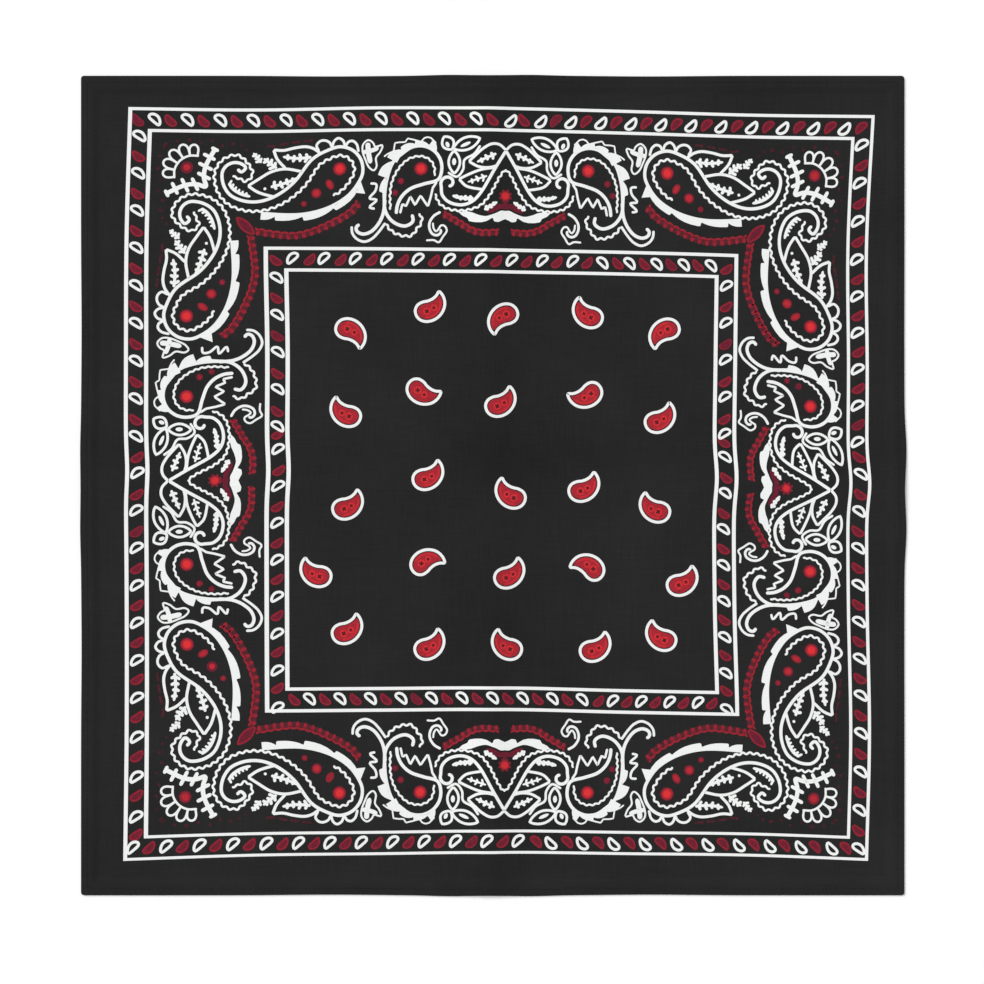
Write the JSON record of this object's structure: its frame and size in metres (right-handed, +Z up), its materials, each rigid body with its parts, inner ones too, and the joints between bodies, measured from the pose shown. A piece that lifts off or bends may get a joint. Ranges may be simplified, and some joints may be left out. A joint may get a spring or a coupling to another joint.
{
  "type": "bandana",
  "caption": "Printed cotton bandana laid flat, face up, with its edges turned under and a cross of soft packing folds.",
  "frame": {"origin": "on the surface that the cloth lies on, below the middle of its outline", "axes": "+Z up out of the printed face, +Y towards the top edge, +X towards the right-hand edge"},
  "size_m": [0.5596, 0.5566, 0.0042],
  "materials": {
    "cloth": "plain-weave cotton, near black, soft and matt",
    "hem": "plain-weave cotton turned under and stitched",
    "print_white": "off-white ink printed into the cloth",
    "print_red": "deep red ink printed into the cloth",
    "thread": "near black sewing thread"
  },
  "bodies": {
    "root": {"cloth_panel": "cloth", "hem_left": "hem", "hem_right": "hem", "hem_bottom": "hem", "hem_top": "hem"}
  },
  "joints": []
}
